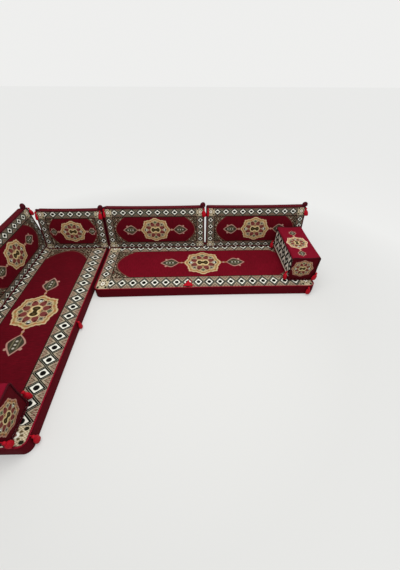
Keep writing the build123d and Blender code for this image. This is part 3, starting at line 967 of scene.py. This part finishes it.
def tassel(seed, tilt, lean, width_share=1.0, thick_share=1.0):
    """A yarn tassel: X across, Y away from what it hangs on, Z down from the sewn end."""
    cord = [(0, 0.0025, 0), (0, 0.006, 0), (0, 0.0095, 0.0006), (0, 0.0127, 0.003),
            (0, HANG, 0.0065), (0, HANG, 0.012)]
    parts = [ball((0, 0.0035, 0), 0.0032, seed), tube(cord, CORD, 8, False)]
    head = [(0.003, 0.0036), (0.0045, 0.0066), (0.0075, 0.0092), (0.011, 0.0102),
            (0.0145, 0.0096), (0.0168, 0.0078), (0.0178, 0.0066)]
    wrap = [(0.0184, 0.0068), (0.0191, 0.006), (0.0198, 0.0069), (0.0205, 0.0061),
            (0.0212, 0.007), (0.022, 0.0063)]
    rings = [(z, r, r, 0.03) for z, r in head + wrap]
    for share in (0.04, 0.12, 0.22, 0.34, 0.46, 0.58, 0.7, 0.82, 0.91, 0.965, 1.0):
        z = TASSEL_TOP + (TASSEL_LENGTH - TASSEL_TOP) * share
        swell = math.sin(min(share / 0.48, 1.0) * math.pi / 2)
        late = max(0.0, share - 0.6) / 0.4
        wide = 0.0068 + 0.015 * swell * width_share - 0.003 * late**2 * width_share
        thick = 0.0062 + 0.0066 * swell * thick_share - 0.002 * late**2
        closing = 1.0 - 0.3 * max(0.0, share - 0.91) / 0.09
        rings.append((z, wide * closing, thick * closing, 0.12 * min(1.0, share * 3)))
    sides = 48
    points = []
    for k, (z, wide, thick, flute) in enumerate(rings):
        for angle in angles(sides):
            comb = math.cos(angle * 16 + 2.0 * bump_noise(angle, z * 30, seed))
            ridge = 1 - flute * (0.5 - 0.5 * comb)
            across, out = math.cos(angle), math.sin(angle)
            ridge += flute * 0.5 * bump_noise(across * 3, out * 3, seed + z * 8)
            drop = z
            if k == len(rings) - 1:
                drop += 0.0022 * bump_noise(across * 5, out * 5, seed + 4)
            sway = lean * max(0.0, z - 0.02)
            points.append(Vector((wide * ridge * across + sway, HANG + thick * ridge * out,
                                  drop)))
    faces = skin(len(rings), sides, flip=True)
    faces.append(tuple(reversed(range(sides))))
    centre = len(points)
    base = centre - sides
    points.append(Vector((lean * (TASSEL_LENGTH - 0.02), HANG, TASSEL_LENGTH - 0.004)))
    for s in range(sides):
        faces.append((base + s, base + (s + 1) % sides, centre))
    parts.append((points, faces))
    return moved(join(parts), Matrix.Rotation(tilt, 3, "X"))


def lying_tassel(seed):
    """The tassel lying on the seat: X across, Y towards the rear, Z up, from its sewn end."""
    radius = 0.014
    head = 0.033 + 0.052 + 0.004
    turn = head + 0.008
    level = 0.0026
    path = [(0, head, 0.0035), (0, turn, 0.003)]
    for k in range(1, 13):
        angle = math.pi * k / 12
        path.append((radius - radius * math.cos(angle), turn + radius * math.sin(angle), level))
    path += [(2 * radius, turn - (turn + 0.003) * k / 8, level) for k in range(1, 9)]
    cord = tube(path, CORD, 8, False, Z)
    sides = 56
    rings = []
    for z, r in ((0.0075, 0.0035), (0.005, 0.0062), (0.0, 0.0084), (-0.004, 0.0076),
                 (-0.0065, 0.006), (-0.0075, 0.0069), (-0.0085, 0.006), (-0.0095, 0.0068)):
        rings.append((head + z, r, min(r, 0.0075), 0.03, 0.0076))
    for share in (0.08, 0.2, 0.35, 0.5, 0.65, 0.8, 0.92, 1.0):
        y = head - 0.0095 - (head - 0.0095 - 0.0285) * share
        wide = 0.0066 + (0.05 - 0.0066) * share**0.8
        thick = 0.006 - 0.0022 * share
        rings.append((y, wide, thick, 0.13 * min(1, share * 3), 0.0062 - 0.0018 * share))
    points = []
    for k, (y, wide, thick, flute, level) in enumerate(rings):
        for angle in angles(sides):
            ridge = 1 + flute * math.cos(angle * 20 + 1.5 * bump_noise(angle * 2, y * 20, seed))
            x = wide * math.cos(angle)
            bow = 0.1 * max(0.0, 1 - (x / 0.042) ** 2) if k > 8 else 0.0
            back = y - bow * 0.09 * (k - 8) / 7
            if k == len(rings) - 1:
                back += 0.003 * bump_noise(x * 160, angle, seed)
            height = level + thick * ridge * math.sin(angle)
            points.append(Vector((x, back, max(0.0006, height))))
    faces = skin(len(rings), sides, flip=True)
    faces.append(tuple(reversed(range(sides))))
    faces.append(tuple(range(len(points) - sides, len(points))))
    return join([cord, (points, faces)])


def back_form(size, cells):
    return Cushion(size, (0.0, BACK_RIM), radius=0.02, draw_ins=(0.0, 0.005, 0.005),
                   crowns=(0.017, 0.004), cells=cells, foot=FOOT_RISE, swell=0.0012,
                   depth=BACK_DEPTH, end_swell=0.0034)


SEAT = Cushion((SEAT_LENGTH, SEAT_DEPTH), (0.0, SEAT_RIM), radius=0.05,
               draw_ins=(0.007, 0.004, 0.0), crowns=(0.015, 0.003), cells=(200, 76, 8))
BACK = back_form((BACK_LENGTH, BACK_HEIGHT), (110, 48, 7))
CORNER = back_form((CORNER_LENGTH, CORNER_HEIGHT), (74, 48, 7))
ARM = Cushion((ARM_WIDTH, ARM_HEIGHT), (ARM_END, ARM_LENGTH - ARM_END), radius=0.024,
              draw_ins=(0.0, -0.005, -0.009), crowns=(0.003, 0.001), cells=(30, 30, 54),
              swell=0.001, waist=0.005, rear_crown=0.003)


def dress(piece, plane, body, nodes):
    """Bring a piece from its own plane to its place, and say what it rides on and stands for."""
    piece.data.transform(plane)
    piece.data.update()
    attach(piece, body)
    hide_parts(*nodes)


def shaped(name, shapes, material, plane, body, nodes):
    points, faces = join(shapes)
    piece = mesh_object(name, points, faces, [MATERIALS[material]])
    dress(piece, plane, body, nodes)


def stuffed(name, form, cloths, seed, plane, body, ends):
    """A padded cushion, with the materials of its front, its sides and its rear."""
    piece = form.build(name + "_cushion", seed, [MATERIALS[cloth] for cloth in cloths])
    dress(piece, plane, body, [name + end for end in ends])


def welt(form, z, seed):
    return tube(form.seam(z), PIPING, 12, True, Z, seed, 0.06)


def make_seat(name, wing, seed):
    plane = wing @ Matrix.Translation((SEAT_LENGTH / 2, 0, 0))
    body = name + "_mattress"
    stuffed(name, SEAT, (name, "plain", "plain"), seed, plane, body,
            ("_foam_core", "_top_panel", "_base_panel", "_boxing"))
    shaped(name + "_welt", [welt(SEAT, SEAT_RIM + PIPING_UP, seed)], "seat_piping", plane, body,
           [name + "_piping"])


EAR_WIDTH, EAR_SHIFT, EAR_BACK = 0.057, 0.005, 0.025
SMALL_EAR_WIDTH, SMALL_EAR_HEIGHT, SMALL_EAR_INSET, SMALL_EAR_BACK = 0.036, 0.012, 0.022, 0.018
LEFT_INSET, LEFT_LEAN, LEFT_WIDTH = 0.017, -0.03, 0.36


def make_back(name, wing, form, cloth, seed, ear_height=0.044, right_inset=0.011,
              right_lean=0.12, ear_inset=0.022):
    plane = back_plane(name, wing)
    body = name + "_body"
    stuffed(name, form, (cloth, "plain", "plain"), seed, plane, body,
            ("_foam_core", "_front_panel", "_back_shell"))
    half = form.length / 2
    level = form.height - 0.0005
    ears = [ear((half - ear_inset, level, BACK_DEPTH - EAR_BACK), EAR_WIDTH, ear_height, seed,
                EAR_SHIFT),
            ear((SMALL_EAR_INSET - half, level, BACK_DEPTH - SMALL_EAR_BACK), SMALL_EAR_WIDTH,
                SMALL_EAR_HEIGHT, seed + 2)]
    shaped(name + "_welt", [welt(form, BACK_RIM + PIPING_UP, seed)] + ears, "piping", plane,
           body, [name + "_piping"])
    yarns = []
    bend = form.radius - PIPING / 2
    for turn, inset, lean, share in ((1, right_inset, right_lean, 1.0),
                                     (-1, LEFT_INSET, LEFT_LEAN, LEFT_WIDTH)):
        drop = PIPING + bend - math.sqrt(bend**2 - (form.radius + PIPING / 2 - inset) ** 2)
        place = turn * (half - inset)
        spot = axes((place, form.height - drop, BACK_DEPTH), X, Z, -Y)
        yarns.append(moved(tassel(seed + place, BACK_TILT, lean, share), spot))
    shaped(name + "_yarn", yarns, "tassel", plane, name + "_tassel_pair",
           [name + "_tassels"])


ARM_WELT = 0.0056
ARM_TASSEL_HEIGHT, ARM_FRONT_INSET, ARM_REAR_INSET = 0.098, 0.014, 0.026
ARM_BULGE = 0.005


def make_arm(name, wing, outer, seed):
    plane = arm_plane(name, wing)
    body = name + "_body"
    stuffed(name, ARM, ("arm_end", "arm_wrap", "arm_end"), seed, plane, body,
            ("_foam_core", "_wrap_cover"))
    welts = [welt(ARM, z, seed) for z in (ARM_WELT, ARM_LENGTH - ARM_WELT)]
    shaped(name + "_welt", welts, "piping", plane, body, [name + "_end_panels"])
    swell = ARM_BULGE * (1 - (2 * (ARM_TASSEL_HEIGHT - ARM_HEIGHT / 2) / ARM_HEIGHT) ** 2)
    reach = ARM_WIDTH / 2 + swell
    spot = axes((outer * (reach - PIPING - 0.008), ARM_TASSEL_HEIGHT, ARM_LENGTH - 0.0011),
                X, Z, -Y)
    yarns = [moved(tassel(seed, BACK_TILT, -0.24 * outer), spot)]
    sides = ((ARM_LENGTH - ARM_FRONT_INSET, -outer), (ARM_REAR_INSET, 1), (ARM_REAR_INSET, -1))
    for z, turn in sides:
        spot = axes((turn * reach, ARM_TASSEL_HEIGHT, z), Z * turn, X * turn, -Y)
        yarns.append(moved(tassel(seed + z * turn, ARM_TILT, 0.08 * turn, 1.25, 1.6), spot))
    shaped(name + "_yarn", yarns, "tassel", plane, body, [name + "_tassels"])


def seat_tassels(name, wing, places, body, node, seed):
    yarns = []
    for place in places:
        back = 0.007 * (1 - (2 * (place - SEAT_LENGTH / 2) / SEAT_LENGTH) ** 2)
        spot = axes((place, back, SEAT_RIM + PIPING_UP), X, -Y, -Z)
        yarns.append(moved(tassel(seed + place, SEAT_TILT, 0.05), spot))
    shaped(name, yarns, "tassel", wing, body, [node])


make_seat("back_seat", BACK_WING, 1.0)
make_seat("left_seat", LEFT_WING, 21.0)
make_back("back_cushion_left", BACK_WING, BACK, "back", 41.0, right_lean=0.04)
make_back("back_cushion_right", BACK_WING, BACK, "back", 61.0, 0.039, right_lean=0.2,
          ear_inset=0.018)
make_back("corner_cushion", BACK_WING, CORNER, "corner", 81.0, right_inset=0.02,
          right_lean=-0.06)
make_back("side_cushion_front", LEFT_WING, BACK, "back", 101.0, right_inset=0.02,
          right_lean=-0.06, ear_inset=0.03)
make_back("side_cushion_rear", LEFT_WING, BACK, "back", 121.0)
make_arm("right_arm", BACK_WING, 1, 141.0)
make_arm("left_arm", LEFT_WING, -1, 161.0)
seat_tassels("back_seat_corner_yarn", BACK_WING, [SEAT_LENGTH - 0.064],
             "back_seat_hanging_tassel", "back_seat_corner_tassel", 181.0)
seat_tassels("left_seat_yarn", LEFT_WING, [0.064, 0.894], "left_seat_hanging_tassels",
             "left_seat_tassels", 191.0)
low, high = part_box("back_seat_edge_tassel")
shaped("back_seat_edge_yarn", [lying_tassel(201.0)], "tassel",
       axes(BACK_WING @ Vector((0.855, 0.0, low[2] - 0.0005)), X, Y, Z),
       "back_seat_lying_tassel", ["back_seat_edge_tassel"])

for node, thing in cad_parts.items():
    for end, material in (("_zipper", "zip"), ("_zip_slider", "slider")):
        if node.endswith(end):
            thing.data.materials.clear()
            thing.data.materials.append(MATERIALS[material])


# Stage, light and camera
def seen_directly():
    """1 for what the camera sees, also by way of a mirror or through glass."""
    paths = make_node("LightPath")
    seen = Field(paths.outputs["Is Camera Ray"])
    for name in ("Is Glossy Ray", "Is Transmission Ray"):
        seen = most(seen, Field(paths.outputs[name]))
    return seen


# The floor's own glow, as seen by the camera, grows with the distance from the sofa
LEAST_GLOW, MOST_GLOW = 0.35, 0.8
GLOW_RISE, GLOW_START = 0.3, 0.1
bpy.ops.mesh.primitive_plane_add(size=40, location=(0, 0, -0.0005))
floor = bpy.context.object
floor.name = "stage_floor"
material, shader = new_material("stage_floor")
feed(shader.inputs["Base Color"], FLOOR_GREY)
shader.inputs["Roughness"].default_value = 0.8
shader.inputs["Specular IOR Level"].default_value = 0.1
# The camera sees the floor evenly pale, with its own shading left in near the sofa
glow = make_node("Emission", Color=FLOOR_GLOW)
blend = make_node("MixShader")
away = length(*flat_place(object_coordinates()))
share = most(LEAST_GLOW, least(away * GLOW_RISE - GLOW_START, MOST_GLOW))
feed(blend.inputs[0], seen_directly() * share)
feed(blend.inputs[1], shader.outputs[0])
feed(blend.inputs[2], glow.outputs[0])
feed(material.node_tree.nodes["Material Output"].inputs["Surface"], blend.outputs[0])
floor.data.materials.append(material)

world = bpy.context.scene.world or bpy.data.worlds.new("world")
bpy.context.scene.world = world
world.use_nodes = True
Field.tree = world.node_tree
background = next(node for node in world.node_tree.nodes if node.type == "BACKGROUND")
seen = seen_directly()
feed(background.inputs["Color"], paint(SKY_LIGHT, BACKDROP, seen))
feed(background.inputs["Strength"], seen * 0.52 + 0.48)


def area(name, place, target, size, power, colour):
    lamp = bpy.data.lights.new(name, "AREA")
    lamp.shape = "RECTANGLE"
    lamp.size, lamp.size_y = size
    lamp.energy = power
    lamp.color = colour
    thing = bpy.data.objects.new(name, lamp)
    thing.location = place
    thing.rotation_euler = (Vector(target) - Vector(place)).to_track_quat("-Z", "Y").to_euler()
    bpy.context.collection.objects.link(thing)


area("key", place=(0.3, -0.25, 3.3), target=(0.1, 0.1, 0.1), size=(3.2, 2.6), power=104,
     colour=(1.0, 0.98, 0.95))
area("fill", place=(2.4, -3.0, 2.2), target=(0, 0.3, 0.2), size=(2.5, 2.0), power=16,
     colour=(0.97, 0.98, 1.0))

FOCAL_PIXELS, FRAME_HEIGHT = 262.0, 570.0
PITCH, YAW, ROLL = math.radians(41.6), math.radians(2.23), math.radians(0.45)
# The camera's place from the back seat's front left corner
CAMERA_PLACE = Vector((0.892, -1.758, 1.696))
SENSOR = 36.0
forward = Vector((math.sin(YAW) * math.cos(PITCH), math.cos(YAW) * math.cos(PITCH),
                  -math.sin(PITCH)))
right = Vector((math.cos(YAW), -math.sin(YAW), 0))
up = right.cross(forward)
rolled_right = right * math.cos(ROLL) + up * math.sin(ROLL)
rolled_up = rolled_right.cross(forward)
camera_data = bpy.data.cameras.new("camera")
camera_data.sensor_fit = "VERTICAL"
camera_data.sensor_height = SENSOR
camera_data.lens = FOCAL_PIXELS * SENSOR / FRAME_HEIGHT
camera_data.clip_start = 0.01
camera = bpy.data.objects.new("camera", camera_data)
camera.matrix_world = axes(BACK_WING @ CAMERA_PLACE, rolled_right, rolled_up, -forward)
bpy.context.collection.objects.link(camera)
bpy.context.scene.camera = camera
bpy.context.scene.view_settings.view_transform = "Standard"
